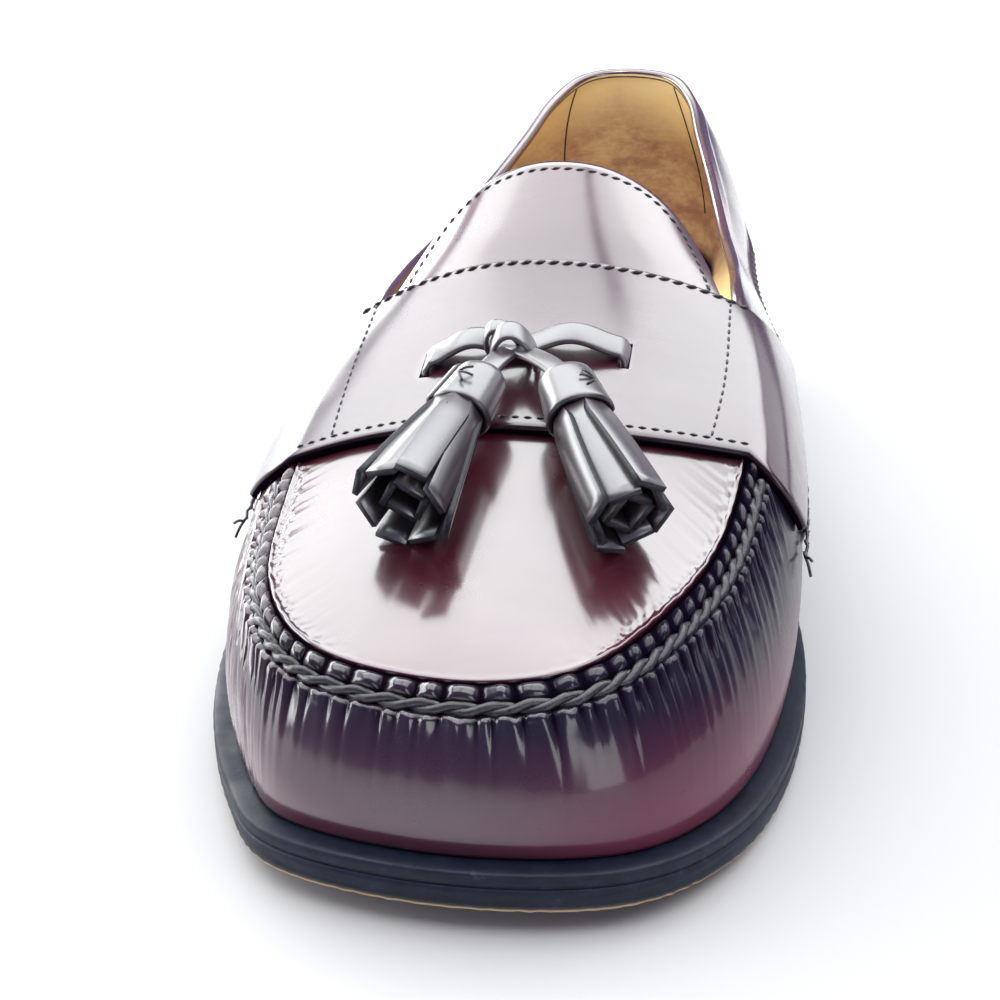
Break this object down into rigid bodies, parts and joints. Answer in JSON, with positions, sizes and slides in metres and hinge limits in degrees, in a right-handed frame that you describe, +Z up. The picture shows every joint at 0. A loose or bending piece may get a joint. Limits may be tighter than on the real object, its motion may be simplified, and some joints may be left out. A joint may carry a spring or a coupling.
{
  "type": "tassel loafer",
  "caption": "Slip-on moccasin loafer for the right foot with a raised apron seam, slotted saddle strap, standing tongue, leather sole and a laced pair of tassels.",
  "frame": {"origin": "bottom centre of the shoe's box on the floor, midway between heel and toe", "axes": "+Z up, +Y from toe to heel, +X towards the inner side of the foot"},
  "size_m": [0.1152, 0.304, 0.0877],
  "materials": {
    "sole_edge": "satin, scuffed",
    "top_lift": "matt",
    "footbed": "matt, worn",
    "upper_leather": "high polish",
    "lace_leather": "polished"
  },
  "bodies": {
    "root": {"outsole": "sole_edge", "welt": "sole_edge", "heel_stack": "sole_edge", "heel_top_lift": "top_lift", "insole": "footbed", "upper": "upper_leather", "tongue": "upper_leather", "saddle_strap": "upper_leather", "lace_bar": "lace_leather", "lace_knot": "lace_leather", "lace_end_outer": "lace_leather", "lace_end_inner": "lace_leather", "tassel_outer": "lace_leather", "tassel_inner": "lace_leather"}
  },
  "joints": []
}
